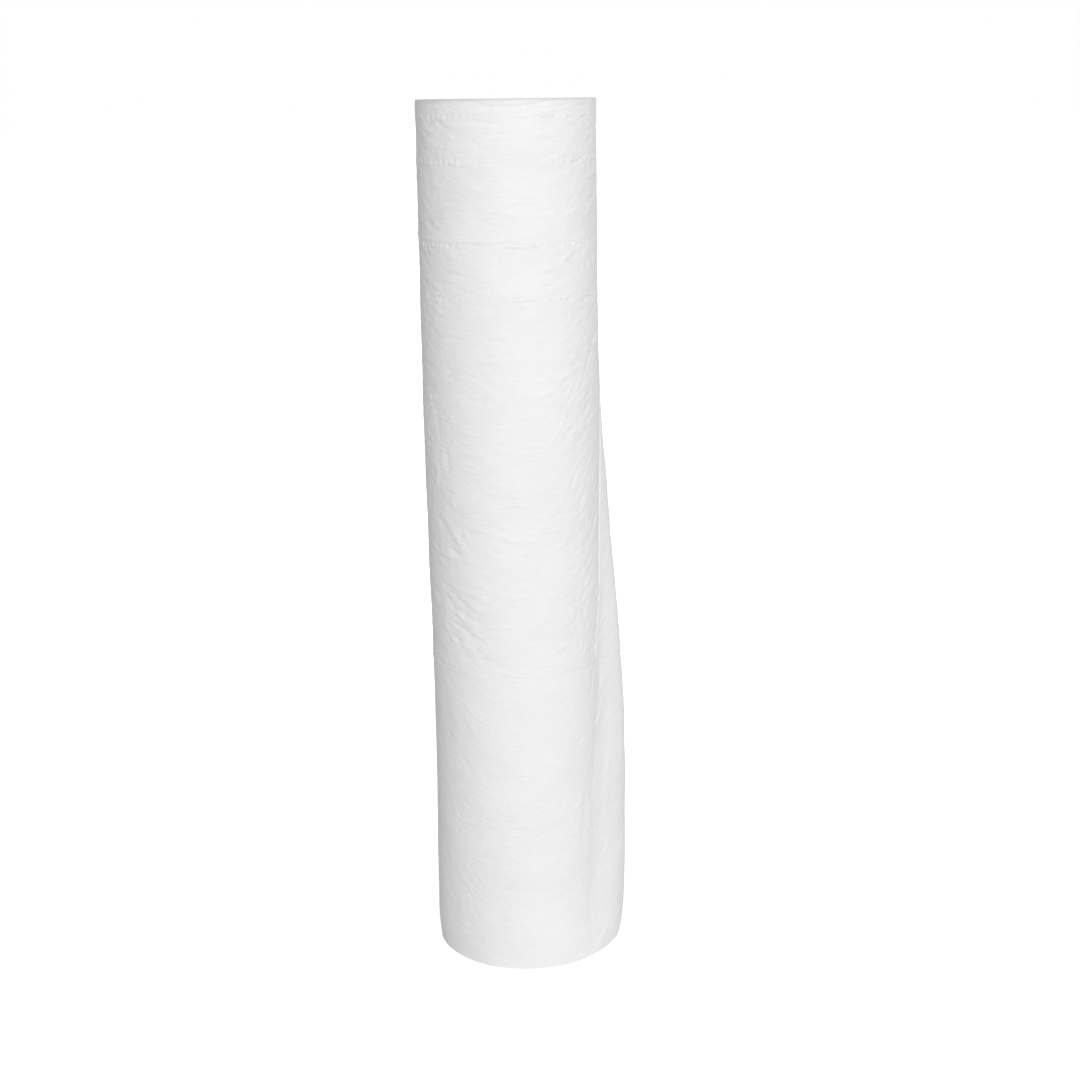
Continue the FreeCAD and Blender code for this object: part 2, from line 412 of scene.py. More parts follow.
def lay_front_creases(skin):
    """The creases that the front shows one by one: a path of bearings and heights, a width,
    a height and a lean for each."""
    creases = [
        # the fan of folds at the left, a little over a third of the way up
        ([(-52.6, 277), (-29, 274.5), (-9, 264)], 1.5, 0.4, 0.9),
        ([(-50, 274), (-35, 266), (-21, 257)], 1.4, -0.45, 0.9),
        ([(-52, 263), (-38, 257), (-30, 250)], 1.3, 0.5, 0.7),
        ([(-52, 253), (-37, 249), (-20, 240)], 1.5, -0.6, 0.9),
        ([(-40, 251), (-31, 247.5), (-24, 242)], 1.1, 0.4, 0.3),
        ([(-42, 240), (-32, 235.5), (-24, 229)], 1.5, 0.42, 0.8),
        ([(-27, 249), (-15, 241), (-6, 236)], 1.6, -0.24, 0.7),
        # broad elbow folds above them
        ([(-58, 330), (-48, 322), (-38, 308), (-28, 292)], 3.4, 0.28, 0.8),
        ([(-54, 312), (-44, 303), (-34, 290)], 2.8, -0.25, 0.8),
        # dents down the left side
        ([(-58, 400), (-54, 389), (-53, 376)], 2.2, -0.3, 0.6),
        ([(-48, 376), (-45.5, 366), (-47, 356)], 2.0, -0.3, 0.6),
        ([(-61, 368), (-57, 358), (-59, 346)], 2.0, 0.26, 0.6),
        # the long arc where the loose turn pulls on the front
        ([(66.8, 420), (50, 412), (39, 402), (32.5, 386), (23.8, 377), (17, 371), (8, 365), (0.4, 363)],
         1.5, 0.3, 0.7),
        ([(60, 399), (46, 391), (35, 379), (25, 368), (14, 361)], 1.6, -0.18, 0.6),
        ([(13, 369), (5, 366), (-3, 364.5)], 1.0, -0.36, 0.9),
        ([(14, 364), (7, 361.5), (1, 360)], 1.0, 0.26, 0.6),
        # short bright folds beside the loose turn
        ([(44, 408), (53, 418)], 1.2, 0.22, 0.6),
        ([(45, 398), (57, 409)], 1.2, 0.16, 0.6),
        ([(42, 320), (50, 330)], 1.2, 0.2, 0.6),
        ([(45, 290), (53, 301)], 1.3, 0.26, 0.6),
        ([(46, 259), (51, 252), (54, 244)], 1.6, -0.22, 0.6),
        # soft folds low on the front, from the loose turn across to the left
        ([(53.9, 142), (42.5, 117), (28.3, 112), (8.8, 109), (-13.8, 108)], 1.9, 0.3, 0.8),
        ([(48, 86), (33, 84), (16, 86), (2, 88)], 2.4, -0.18, 0.6),
        ([(-45.8, 21), (-37, 17), (-28.6, 13)], 1.3, -0.24, 0.7),
        ([(-11.7, 22), (-6, 17), (-1.8, 13)], 1.2, 0.2, 0.7),
        # a nick near the top
        ([(-40.5, 570), (-38.5, 576)], 0.9, -0.3, 0.6),
    ]
    for path, width, height, lean in creases:
        skin.fold(path, width, height, lean)


def lay_loose_turn_folds(skin):
    """The soft valley beside the loose turn and the folds that run down it."""
    valley = [(free_edge(height) + 0.5, height) for height in range(210, 60, -15)]
    skin.fold(valley, 4.6, -0.3, ends=0.2)
    skin.fold([(53, 132), (49.5, 112), (48, 90), (46, 66)], 3.2, -0.5)
    skin.fold([(62.5, 217), (60.5, 205), (58, 190)], 1.4, -0.5, ends=0.4)
    skin.fold([(70, 217), (71.5, 205), (69.5, 188)], 1.4, -0.8, ends=0.4)
    skin.fold([(67.8, 19), (61, 12), (53.7, 5)], 1.9, 0.6, lean=0.5)
    skin.fold([(96, 330), (100, 250), (101, 170), (99, 100)], 7.0, 0.6)
    skin.fold([(118, 390), (124, 300), (128, 210), (126, 120)], 8.0, -0.7)
    skin.fold([(146, 360), (152, 260), (150, 150), (146, 60)], 9.0, 0.5)


def lay_rim(skin):
    """The head's rim. It flares along the front, where a slim lens of it stands proud over a fine
    groove, and a little at both sides. The left corner draws in."""
    bearing, height = np.meshgrid(skin.bearings, skin.heights)
    from_top = ROLL_HEIGHT - height
    front = smooth(bearing, -70, -42) * (1 - smooth(bearing, 48, 74))
    flare = 1.4 * np.exp(-from_top / 1.6) + 0.8 * np.exp(-from_top / 0.6)
    left_corner = smooth(bearing, -110, -86) * (1 - smooth(bearing, -76, -62))
    skin.relief += flare * front - 0.9 * np.exp(-from_top / 1.2) * left_corner
    lens = 4.2 * smooth(bearing, -28, -4) * (1 - smooth(bearing, 4, 44))
    skin.relief += 0.3 * smooth(from_top, lens + 0.45, lens - 0.45) * smooth(lens, 0.3, 1.2)
    skin.relief -= 0.2 * np.exp(-((from_top - lens - 0.6) / 0.6) ** 2) * smooth(lens, 0.5, 2.5)
    left = smooth(bearing, -150, -60) * (1 - smooth(bearing, -50, -20)) + smooth(bearing, 225, 262)
    skin.relief += 0.4 * np.exp(-(from_top / 8) ** 2) * np.clip(left, 0, 1)
    right = smooth(bearing, 40, 75) * (1 - smooth(bearing, 120, 170))
    skin.relief += 0.3 * np.exp(-(from_top / 7) ** 2) * right


def lay_foot(skin):
    """The foot's rim: it stands out where the loose turn begins, and draws in at the left."""
    bearing, height = np.meshgrid(skin.bearings, skin.heights)
    standing = np.interp(bearing, FOOT_BEARINGS, FOOT_STANDING)
    reach = np.where(standing > 0, 24, 12)
    skin.relief += standing * np.exp(-(height / reach) ** 2)


def make_skin():
    random = np.random.default_rng(RANDOM_SEED)
    skin = Skin()
    lay_swells(skin, random)
    lay_left_side(skin)
    lay_crinkles(skin, random)
    lay_side_folds(skin, random)
    lay_bond_bands(skin, random)
    lay_ring_lines(skin, random)
    lay_front_creases(skin)
    lay_loose_turn_folds(skin)
    lay_rim(skin)
    lay_foot(skin)
    return skin


# Mesh helpers

def new_piece(name, vertices, faces, material, uv=None):
    """A mesh piece. Its vertices are in millimetres and uv, in metres, has one row for each vertex."""
    mesh = bpy.data.meshes.new(name)
    mesh.from_pydata((np.asarray(vertices) * MM).tolist(), [], faces)
    mesh.materials.append(material)
    if uv is not None:
        corner_vertices = np.zeros(len(mesh.loops), int)
        mesh.loops.foreach_get("vertex_index", corner_vertices)
        layer = mesh.uv_layers.new(name="unrolled")
        layer.uv.foreach_set("vector", np.asarray(uv)[corner_vertices].ravel())
    mesh.shade_smooth()
    mesh.set_sharp_from_angle(angle=math.radians(50))
    mesh.validate()
    piece = bpy.data.objects.new(name, mesh)
    bpy.context.scene.collection.objects.link(piece)
    return piece


def on_roll(bearing, radius, height):
    """Points in millimetres from bearings, radii and heights."""
    angle = np.radians(bearing)
    return np.stack([radius * np.sin(angle), -radius * np.cos(angle), height + 0 * radius], -1)


def grid_faces(rows, columns):
    """Faces between the points of a grid, row by row. Its last column meets its first."""
    faces = []
    for row in range(rows - 1):
        for column in range(columns):
            beside = (column + 1) % columns
            low, high = row * columns, (row + 1) * columns
            faces.append((low + column, low + beside, high + beside, high + column))
    return faces


def ring_faces(outer, inner):
    """Faces between two closed rings that have the same number of points."""
    faces = []
    for i in range(len(outer)):
        after = (i + 1) % len(outer)
        faces.append((outer[i], outer[after], inner[after], inner[i]))
    return faces


def bridge(first, second, first_places, second_places):
    """Triangles between two rows of points that run side by side, by their places along the row."""
    faces = []
    i = j = 0
    while i < len(first) - 1 or j < len(second) - 1:
        step_first = j == len(second) - 1 or (
            i < len(first) - 1 and first_places[i + 1] <= second_places[j + 1])
        if step_first:
            faces.append((first[i], first[i + 1], second[j]))
            i += 1
        else:
            faces.append((first[i], second[j + 1], second[j]))
            j += 1
    return faces


# The wound towel

# columns of points: on the outside, on the winding under the loose turn, and inside the loose turn
OUTSIDE_COLUMNS = 182
UNDER_SHARES = (0.006, 0.03, 0.2, 0.55, 1.0)
UNDER_COLUMNS = len(UNDER_SHARES)
INSIDE_COLUMNS = 20
UNDER_START = 0.06
UNDER_SUNK = 1.2
WALL_SHARE_OF_STEP = 0.9
WALL_THICKER_ABOVE_FOOT = 0.3

# the span that the pocket under the loose turn narrows to, and the heights where it does
CLOSED_SPAN = 8.0
CLOSING_HEIGHTS = (425, 455)

# how close together the outside's columns are, by bearing
CLOSENESS_BEARINGS = (-110, -92, -36, -24, 20, 30, 74, 84, 110, 140, 240, 250)
CLOSENESS = (0.25, 1.0, 1.0, 0.55, 0.55, 0.9, 0.9, 0.5, 0.3, 0.22, 0.22, 0.25)

# steps between the rows of points, and the stretches at the rims and below the head that have their own
LOW_ROW_STEP = 1.6
ROW_STEP = 1.32
FINE_ROW_STEP = 0.9
HEAD_ROW_STEP = 0.5
RIM_ROW_STEP = 0.2
CLOSER_ROWS_FROM = 215.0
HEAD_STRETCH = 6
RIM_STRETCH = 1.0
RIM_ROUNDING = 0.25

# rings of points on both ends: their share of the way from the core to the rim, and how deep they lie
END_SUNK = 1.4
FOOT_TURNS_LEVEL = 1.0
END_RINGS = ((0.985, 0.05), (0.94, 0.5), (0.89, END_SUNK), (0.6, END_SUNK), (0.3, END_SUNK),
             (0.06, END_SUNK), (0.0, 1.0))


def row_heights():
    """Heights of the mesh's rows: closer at the rims, the embossed rows and the wrinkled stretch."""
    heights = [0.0]
    # middles and half lengths of the stretches with fine rows
    fine_places = [(h - 3.0, 4.2) for h in BOND_HEIGHTS] + [(h, 1.4) for h in RING_LINES]
    while heights[-1] < ROLL_HEIGHT:
        height = heights[-1]
        from_end = min(height, ROLL_HEIGHT - height)
        if from_end < RIM_STRETCH:
            step = RIM_ROW_STEP
        elif ROLL_HEIGHT - height < HEAD_STRETCH:
            step = HEAD_ROW_STEP
        elif any(abs(height - place) < reach for place, reach in fine_places):
            step = FINE_ROW_STEP
        else:
            step = ROW_STEP if height > CLOSER_ROWS_FROM else LOW_ROW_STEP
        heights.append(height + step)
    heights[-1] = ROLL_HEIGHT
    return np.array(heights)


def loose_width(height):
    """Width in degrees of the pocket under the loose turn. It closes above the loose stretch."""
    return LOOSE_SPAN + (CLOSED_SPAN - LOOSE_SPAN) * smooth(height, *CLOSING_HEIGHTS)


def row_bearings(height):
    """Bearings of one row's points: the outside from the free end and right round,
    on under the loose turn, and back along the inside of the loose turn."""
    edge, width = free_edge(height), loose_width(height)
    fine = np.linspace(edge, edge + 360, 721)
    first = CLOSENESS_BEARINGS[0]
    closeness = np.interp((fine - first) % 360 + first, CLOSENESS_BEARINGS, CLOSENESS)
    closeness += 0.9 * np.exp(-((fine - edge) / 5) ** 2) + 4 * np.exp(-((fine - edge) / 1.2) ** 2)
    places = np.concatenate([[0.0], np.cumsum((closeness[1:] + closeness[:-1]) / 2)])
    outside = np.interp(np.linspace(0, places[-1], OUTSIDE_COLUMNS), places, fine)
    under = edge + 360 + width * np.array(UNDER_SHARES)
    inside = edge + width * (1 - np.arange(INSIDE_COLUMNS) / (INSIDE_COLUMNS - 1)) ** 1.8
    return np.concatenate([outside, under, inside])


def rim_inset(height):
    """How far the rounded rims draw in, towards either end."""
    into = np.clip(RIM_ROUNDING - np.minimum(height, ROLL_HEIGHT - height), 0, RIM_ROUNDING)
    return RIM_ROUNDING - np.sqrt(RIM_ROUNDING ** 2 - into ** 2)


def crease_run(bearings, height):
    """How far the creases rise along a row, from the front's middle. It bends the paper's pattern
    so that its fine creases lie as the deep ones do."""
    rises = np.array([lie_of_creases(bearing, height) for bearing in from_seam(bearings)])
    slopes = np.tan(np.radians(rises)) * WOUND_RADIUS
    steps = np.diff(np.radians(bearings)) * (slopes[1:] + slopes[:-1]) / 2
    run = np.concatenate([[0.0], np.cumsum(steps)])
    return run - np.interp(360, bearings[:OUTSIDE_COLUMNS], run[:OUTSIDE_COLUMNS])


def head_sag(bearings, height):
    """How much lower the points near the head lie, at the right and the back."""
    bearings = from_seam(bearings)
    sag = HEAD_SAG * smooth(bearings, -60, 80) * (1 - smooth(bearings, 180, 262))
    return sag * smooth(height, 560, ROLL_HEIGHT)


def row_radii(skin, bearings, height):
    """Radii of the row's points. The surface under the loose turn starts just below the free end
    and sinks from its first point to its second. The loose turn's wall is thin at its free end."""
    turned = bearings - free_edge(height)
    step = edge_step(height)
    coil = WOUND_RADIUS - step * turned / 360
    share = np.clip(turned / LOOSE_SPAN, 0, 1)
    lifted = coil + standing_off(share, height) + edge_lip(np.where(turned < 180, turned, 0), height)
    lifted += skin.at(bearings, height) - rim_inset(height)
    radii = lifted.copy()
    under = slice(OUTSIDE_COLUMNS, OUTSIDE_COLUMNS + UNDER_COLUMNS)
    sinking = smooth((turned[under] - 360) / LOOSE_SPAN, UNDER_SHARES[0], UNDER_SHARES[1])
    radii[under] = (lifted[under] - UNDER_START) * (1 - sinking) + (coil[under] - UNDER_SUNK) * sinking
    inside = slice(OUTSIDE_COLUMNS + UNDER_COLUMNS, None)
    thickness = WEB_THICKNESS + WALL_THICKER_ABOVE_FOOT * smooth(height, 2, 12)
    wall = WALL_SHARE_OF_STEP * step + thickness * smooth(share[inside], 0, 0.012)
    radii[inside] = lifted[inside] - wall
    return radii


def side_points(skin, heights, rows):
    """Points of the towel's side, row by row, with their places on the unrolled paper."""
    points, uv = [], []
    for bearings, height in zip(rows, heights):
        radii = row_radii(skin, bearings, height)
        points.append(on_roll(bearings, radii, height - head_sag(bearings, height)))
        run = crease_run(bearings, height)
        uv.append(np.stack([np.radians(bearings) * WOUND_RADIUS, height - run], -1) * MM)
    return np.concatenate(points), np.concatenate(uv)


def wall_faces(bearings, start, loop_first):
    """Faces that close the loose turn's wall on one end. The row's points are numbered from start."""
    loop_last = len(bearings) - INSIDE_COLUMNS - 1
    outer = list(range(start, start + loop_first + 1))
    inner = list(range(start + len(bearings) - 1, start + loop_last, -1))
    faces = bridge(outer, inner, bearings[:loop_first + 1], bearings[:loop_last:-1])
    faces.append((outer[-1], start + loop_last, inner[-1]))
    return faces


def end_rings(bearings, height, facing, rim):
    """Rings of points on one end, from the rim's points in to the core."""
    bore_radius = CORE_RADIUS + CORE_CLEARANCE
    rim_radii = np.hypot(rim[:, 0], rim[:, 1])
    sag = head_sag(bearings, height)
    for share, sunk in END_RINGS:
        radii = bore_radius + (rim_radii - bore_radius) * share
        yield on_roll(bearings, radii, height - facing * sunk - sag)


def make_wound_towel(skin, material):
    """The web as one closed mesh: its side, both ends and the bore. On each end a loop of points
    runs round the winding, and the loose turn's wall is closed apart from it."""
    heights = row_heights()
    rows = [row_bearings(height) for height in heights]
    points, uv = side_points(skin, heights, rows)
    columns = len(rows[0])
    faces = grid_faces(len(heights), columns)
    bore_rings, bore_places = [], []
    for row, facing in ((0, -1), (len(heights) - 1, 1)):
        start = row * columns
        bearings, height = rows[row], heights[row]
        loose_end = bearings[0] + loose_width(height)
        loop_first = int(np.searchsorted(bearings[:OUTSIDE_COLUMNS], loose_end))
        loop_bearings = bearings[loop_first:columns - INSIDE_COLUMNS]
        ring = list(range(start + loop_first, start + columns - INSIDE_COLUMNS))
        ends = wall_faces(bearings, start, loop_first)
        for new_points in end_rings(loop_bearings, height, facing, points[ring]):
            new_ring = list(range(len(points), len(points) + len(new_points)))
            points = np.concatenate([points, new_points])
            uv = np.concatenate([uv, new_points[:, :2] * MM])
            ends += ring_faces(ring, new_ring)
            ring = new_ring
        faces += ends if facing > 0 else [face[::-1] for face in ends]
        bore_rings.append(ring + [ring[0]])
        bore_places.append(list(loop_bearings) + [loop_bearings[0] + 360])
    foot, head = bore_rings
    faces += [face[::-1] for face in bridge(foot, head, *bore_places)]
    return new_piece("wound_towel", points, faces, material, uv)


# Geometry Nodes helpers

SOCKETS = {float: "NodeSocketFloat", int: "NodeSocketInt"}


class Tree:
    """A geometry node tree with named inputs, which is baked to a plain mesh."""

    def __init__(self, name):
        self.group = bpy.data.node_groups.new(name, "GeometryNodeTree")
        self.group.interface.new_socket("Geometry", in_out="INPUT", socket_type="NodeSocketGeometry")
        self.group.interface.new_socket("Geometry", in_out="OUTPUT", socket_type="NodeSocketGeometry")
        self.given = self.group.nodes.new("NodeGroupInput")
        self.result = self.group.nodes.new("NodeGroupOutput")
        self.values = {}

    def ask(self, name, value, kind=None):
        """A named input, and the value that the piece gives it."""
        socket = self.group.interface.new_socket(
            name, in_out="INPUT", socket_type=kind or SOCKETS[type(value)])
        self.values[socket.identifier] = value
        return self.given.outputs[name]

    def add(self, kind, inputs=None, **settings):
        """A node with its settings, and its inputs by name or number: a value, or a socket to link."""
        node = self.group.nodes.new(kind)
        for setting, value in settings.items():
            setattr(node, setting, value)
        for key, value in (inputs or {}).items():
            if isinstance(value, bpy.types.NodeSocket):
                self.group.links.new(value, node.inputs[key])
            else:
                node.inputs[key].default_value = value
        return node

    def math(self, operation, *values):
        node = self.add("ShaderNodeMath", dict(enumerate(values)), operation=operation)
        return node.outputs[0]

    def vector(self, x=0.0, y=0.0, z=0.0):
        return self.add("ShaderNodeCombineXYZ", {"X": x, "Y": y, "Z": z}).outputs[0]

    def finish(self, geometry, material, smooth_shade=True):
        """The nodes that end every tree: Realize Instances, shading and Set Material."""
        realized = self.add("GeometryNodeRealizeInstances", {"Geometry": geometry})
        shaded = self.add("GeometryNodeSetShadeSmooth",
                          {"Geometry": realized.outputs[0], "Shade Smooth": smooth_shade})
        painted = self.add("GeometryNodeSetMaterial",
                           {"Geometry": shaded.outputs[0], "Material": material})
        self.group.links.new(painted.outputs[0], self.result.inputs["Geometry"])

    def bake(self, name, base_points):
        """The tree's result, as a plain mesh piece with no modifier."""
        carrier_mesh = bpy.data.meshes.new(name + "_base")
        carrier_mesh.from_pydata(base_points, [], [])
        carrier = bpy.data.objects.new(name + "_base", carrier_mesh)
        bpy.context.scene.collection.objects.link(carrier)
        modifier = carrier.modifiers.new(name, "NODES")
        modifier.node_group = self.group
        for identifier, value in self.values.items():
            modifier[identifier] = value
        bpy.context.view_layer.update()
        evaluated = carrier.evaluated_get(bpy.context.evaluated_depsgraph_get())
        mesh = bpy.data.meshes.new_from_object(evaluated)
        mesh.name = name
        carrier.modifiers.remove(modifier)
        bpy.data.objects.remove(carrier)
        piece = bpy.data.objects.new(name, mesh)
        bpy.context.scene.collection.objects.link(piece)
        return piece


def make_turn_edges(name, material, level, seed):
    """The edges of the wound turns on one end: a fine spiral of low ridges."""
    tree = Tree(name)
    paper = tree.ask("Paper", material, "NodeSocketMaterial")
    turns = tree.ask("Turns", 60.0)
    inner = tree.ask("Inner radius", (CORE_RADIUS + 0.5) * MM)
    outer = tree.ask("Outer radius", (WOUND_RADIUS - 1.6) * MM)
    ridge = tree.ask("Ridge half width", 0.3 * MM)
    uneven = tree.ask("Unevenness", 0.8 * MM)
    level = tree.ask("Level", level * MM)
    seed = tree.ask("Seed", float(seed))
    spiral = tree.add("GeometryNodeCurveSpiral", {
        "Resolution": 84, "Rotations": turns, "Start Radius": inner, "End Radius": outer, "Height": 0.0})
    place = tree.add("GeometryNodeInputPosition").outputs[0]
    drift = tree.add("ShaderNodeTexNoise",
                     {"Vector": place, "W": seed, "Scale": 60.0, "Detail": 3.0}, noise_dimensions="4D")
    lift = tree.math("MULTIPLY", tree.math("SUBTRACT", drift.outputs[0], 0.5), uneven)
    raised = tree.add("GeometryNodeSetPosition", {
        "Geometry": spiral.outputs[0], "Offset": tree.vector(z=tree.math("ADD", level, lift))})
    profile = tree.add("GeometryNodeCurvePrimitiveCircle", {"Resolution": 4, "Radius": ridge})
    ridges = tree.add("GeometryNodeCurveToMesh", {
        "Curve": raised.outputs[0], "Profile Curve": profile.outputs[0], "Fill Caps": True})
    tree.finish(ridges.outputs[0], paper, smooth_shade=False)
    return tree.bake(name, [(0, 0, 0)])


def make_bond_ticks(towel, material):
    """The fine slanting ticks pressed into the embossed rows, laid on the towel's surface."""
    tree = Tree("bond_ticks")
    paper = tree.ask("Paper", material, "NodeSocketMaterial")
    surface = tree.ask("Towel", towel, "NodeSocketObject")
    count = tree.ask("Ticks in a row", 400)
    length = tree.ask("Tick half length", 1.9 * MM)
    width = tree.ask("Tick half width", 0.17 * MM)
    thick = tree.ask("Tick half thickness", 0.11 * MM)
    sunk = tree.ask("Tick sunk", -0.08 * MM)
    slant = tree.ask("Slant", math.radians(24))
    seed = tree.ask("Seed", 7)
    slant_spread = 0.12
    cast_from = tree.ask("Cast from radius", 100 * MM)
    cast_length = tree.ask("Cast length", 90 * MM)
    ring = tree.add("GeometryNodeMeshCircle", {"Vertices": count, "Radius": cast_from}, fill_type="NONE")
    rings = tree.add("GeometryNodeInstanceOnPoints", {
        "Points": tree.given.outputs["Geometry"], "Instance": ring.outputs[0]})
    points = tree.add("GeometryNodeRealizeInstances", {"Geometry": rings.outputs[0]})
    place = tree.add("GeometryNodeInputPosition").outputs[0]
    inward = tree.add("ShaderNodeVectorMath", {0: place, 1: (-1.0, -1.0, 0.0)}, operation="MULTIPLY")
    towel_mesh = tree.add("GeometryNodeObjectInfo", {"Object": surface})
    ray = tree.add("GeometryNodeRaycast", {
        "Target Geometry": towel_mesh.outputs["Geometry"], "Ray Direction": inward.outputs[0],
        "Ray Length": cast_length})
    normal = tree.add("GeometryNodeCaptureAttribute", {"Geometry": points.outputs[0]})
    normal.capture_items.new("VECTOR", "normal")
    tree.group.links.new(ray.outputs["Hit Normal"], normal.inputs["normal"])
    into = tree.add("ShaderNodeVectorMath",
                    {0: normal.outputs["normal"], "Scale": sunk}, operation="SCALE")
    landed = tree.add("GeometryNodeSetPosition", {
        "Geometry": normal.outputs["Geometry"], "Position": ray.outputs["Hit Position"],
        "Offset": into.outputs[0]})
    upright = tree.add("FunctionNodeAxesToRotation", {0: normal.outputs["normal"], 1: (0.0, 0.0, 1.0)},
                       primary_axis="Z", secondary_axis="Y")
    lean = tree.add("FunctionNodeRandomValue", {"Min": -slant_spread, "Max": slant_spread, "Seed": seed})
    lean_socket = next(output for output in lean.outputs if output.enabled)
    turned = tree.add("FunctionNodeRotateRotation", {
        "Rotation": upright.outputs[0],
        "Rotate By": tree.add("FunctionNodeEulerToRotation", {
            "Euler": tree.vector(z=tree.math("ADD", slant, lean_socket))}).outputs[0]},
        rotation_space="LOCAL")
    tick = tree.add("GeometryNodeMeshIcoSphere", {"Radius": 1.0, "Subdivisions": 1})
    ticks = tree.add("GeometryNodeInstanceOnPoints", {
        "Points": landed.outputs[0], "Instance": tick.outputs[0], "Rotation": turned.outputs[0],
        "Scale": tree.vector(width, length, thick)})
    tree.finish(ticks.outputs[0], paper)
    middles = [(0, 0, (height - 0.5 * BOND_BAND) * MM) for height in BOND_HEIGHTS]
    return tree.bake("bond_ticks", middles)


# The core

def make_core(material):
    """The board tube. Its strip of board is wound in a spiral, whose seam shows as a fine groove."""
    columns, rows = 72, 240
    strip_width = 62.0
    groove_width = 0.9
    groove_depth = 0.16
    roughness = 0.03
    angles = np.arange(columns) * 360 / columns
    heights = np.linspace(0, ROLL_HEIGHT - CORE_SUNK, rows)
    random = np.random.default_rng(RANDOM_SEED + 1)
    uneven = np.abs(random.normal(0, roughness, (rows, columns)))
    outer_radii = np.full(columns, CORE_RADIUS - 0.02)
    outside = [on_roll(angles, outer_radii, height) for height in heights]
    inside = []
    for height, rough in zip(heights, uneven):
        phase = (height / strip_width + angles / 360) % 1.0
        off_groove = np.minimum(phase, 1 - phase) * strip_width
        groove = groove_depth * np.exp(-(off_groove / groove_width) ** 2)
        inside.append(on_roll(angles, CORE_BORE_RADIUS + roughness + groove + rough, height))
    side = grid_faces(rows, columns)
    inner_start = rows * columns
    bore = [tuple(index + inner_start for index in face[::-1]) for face in side]
    outer, inner = range(columns), range(inner_start, inner_start + columns)
    foot = [face[::-1] for face in ring_faces(outer, inner)]
    to_head = (rows - 1) * columns
    head = [tuple(index + to_head for index in face) for face in ring_faces(outer, inner)]
    return new_piece("spiral_board_core", np.concatenate(outside + inside),
                     side + bore + foot + head, material)


# Materials

def new_material(name):
    material = bpy.data.materials.new(name)
    material.use_nodes = True
    nodes = material.node_tree.nodes
    return material, nodes, material.node_tree.links, nodes["Principled BSDF"]


def noise_on(nodes, links, coordinates, scale, detail, turn=0.0, roughness=0.55):
    """A noise texture stretched by a mapping, whose scale is in repeats for each metre."""
    mapping = nodes.new("ShaderNodeMapping")
    mapping.inputs["Scale"].default_value = scale
    mapping.inputs["Rotation"].default_value = (0, 0, turn)
    noise = nodes.new("ShaderNodeTexNoise")
    noise.inputs["Scale"].default_value = 1.0
    noise.inputs["Detail"].default_value = detail
    noise.inputs["Roughness"].default_value = roughness
    links.new(coordinates, mapping.inputs["Vector"])
    links.new(mapping.outputs[0], noise.inputs["Vector"])
    return noise.outputs[0]


def bump_chain(nodes, links, heights):
    """Bumps laid one on another. Each is a height socket and a depth in metres."""
    normal = None
    for socket, depth in heights:
        bump = nodes.new("ShaderNodeBump")
        bump.inputs["Distance"].default_value = depth
        links.new(socket, bump.inputs["Height"])
        if normal is not None:
            links.new(normal, bump.inputs["Normal"])
        normal = bump.outputs[0]
    return normal


def colour_between(nodes, links, factor, dark, light):
    ramp = nodes.new("ShaderNodeValToRGB")
    ramp.color_ramp.elements[0].position = 0.3
    ramp.color_ramp.elements[0].color = (*dark, 1)
    ramp.color_ramp.elements[1].position = 0.7
    ramp.color_ramp.elements[1].color = (*light, 1)
    links.new(factor, ramp.inputs["Fac"])
    return ramp.outputs["Color"]


def crepe_paper():
    """White crêped tissue: fine crinkles across the web's run, a slanting grain and loose fibres."""
    material, nodes, links, paper = new_material("crepe_paper")
    unrolled = nodes.new("ShaderNodeUVMap")
    unrolled.uv_map = "unrolled"
    place = unrolled.outputs[0]
    crepe = noise_on(nodes, links, place, (150, 430, 1), 4.0)
    grain = noise_on(nodes, links, place, (420, 820, 1), 2.0, turn=math.radians(20))
    fibre = noise_on(nodes, links, place, (1900, 1900, 1), 2.0)
    cloud = noise_on(nodes, links, place, (26, 40, 1), 3.0)
    paper.inputs["Roughness"].default_value = 0.93
    paper.inputs["Specular IOR Level"].default_value = 0.25
    paper.inputs["Sheen Weight"].default_value = 0.06
    paper.inputs["Sheen Roughness"].default_value = 0.5
    links.new(colour_between(nodes, links, cloud, (0.885, 0.885, 0.887), (0.915, 0.915, 0.915)),
              paper.inputs["Base Color"])
    links.new(bump_chain(nodes, links, [(crepe, 0.0005), (grain, 0.00022), (fibre, 0.00006)]),
              paper.inputs["Normal"])
    return material


def turn_edge_paper():
    """The cut edges of the wound turns, a little greyer than the face of the towel."""
    material, nodes, links, paper = new_material("cut_paper_edges")
    coordinates = nodes.new("ShaderNodeTexCoord").outputs["Object"]
    lint = noise_on(nodes, links, coordinates, (900, 900, 900), 3.0)
    paper.inputs["Roughness"].default_value = 0.95
    paper.inputs["Specular IOR Level"].default_value = 0.2
    links.new(colour_between(nodes, links, lint, (0.8, 0.8, 0.805), (0.9, 0.9, 0.9)),
              paper.inputs["Base Color"])
    links.new(bump_chain(nodes, links, [(lint, 0.0002)]), paper.inputs["Normal"])
    return material


def core_board():
    """Grey-brown board with specks and a fibre run along its spiral."""
    material, nodes, links, board = new_material("grey_core_board")
    coordinates = nodes.new("ShaderNodeTexCoord").outputs["Object"]
    speck = noise_on(nodes, links, coordinates, (700, 700, 700), 4.0, roughness=0.7)
    fibre = noise_on(nodes, links, coordinates, (160, 160, 1400), 3.0)
    board.inputs["Roughness"].default_value = 0.85
    board.inputs["Specular IOR Level"].default_value = 0.3
    links.new(colour_between(nodes, links, speck, (0.38, 0.31, 0.235), (0.53, 0.455, 0.355)),
              board.inputs["Base Color"])
    links.new(bump_chain(nodes, links, [(fibre, 0.00012), (speck, 0.0001)]), board.inputs["Normal"])
    return material


# The studio

